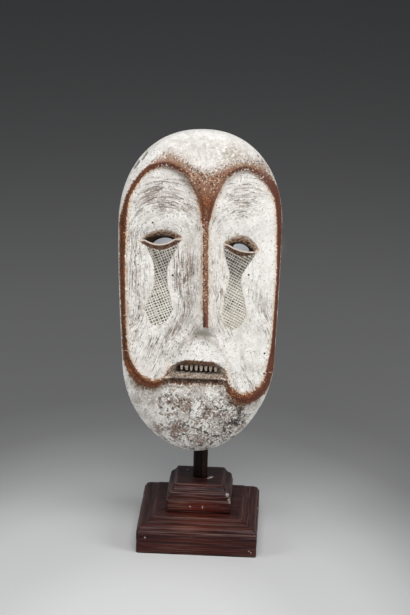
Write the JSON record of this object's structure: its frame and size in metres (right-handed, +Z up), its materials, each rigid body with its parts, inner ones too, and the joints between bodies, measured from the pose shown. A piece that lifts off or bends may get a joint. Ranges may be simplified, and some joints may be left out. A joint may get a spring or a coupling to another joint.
{
  "type": "carved wooden mask on a stand",
  "caption": "Long oval hollow wooden mask with a clay-whitened face of sunken lobes, slit eyes, a thin nose ridge and a toothed mouth, held upright by a round post on a moulded plinth.",
  "frame": {"origin": "centre of the plinth's underside", "axes": "+Z up the post; the stand's front and the mask look along -Y, the mask turned 9 degrees towards +X and leaning back 6 degrees; +X is the viewer's right"},
  "size_m": [0.1609, 0.122, 0.4231],
  "materials": {
    "mask_clay": "carved wood under worn matte white clay, with bare brown bands round the lobes of the face",
    "post_wood": "nearly black satin wood",
    "plinth_wood": "dark red-brown hardwood, satin, with worn edges"
  },
  "bodies": {
    "root": {"mask": "mask_clay", "post": "post_wood", "plinth_upper": "plinth_wood", "plinth_lower": "plinth_wood"}
  },
  "joints": []
}
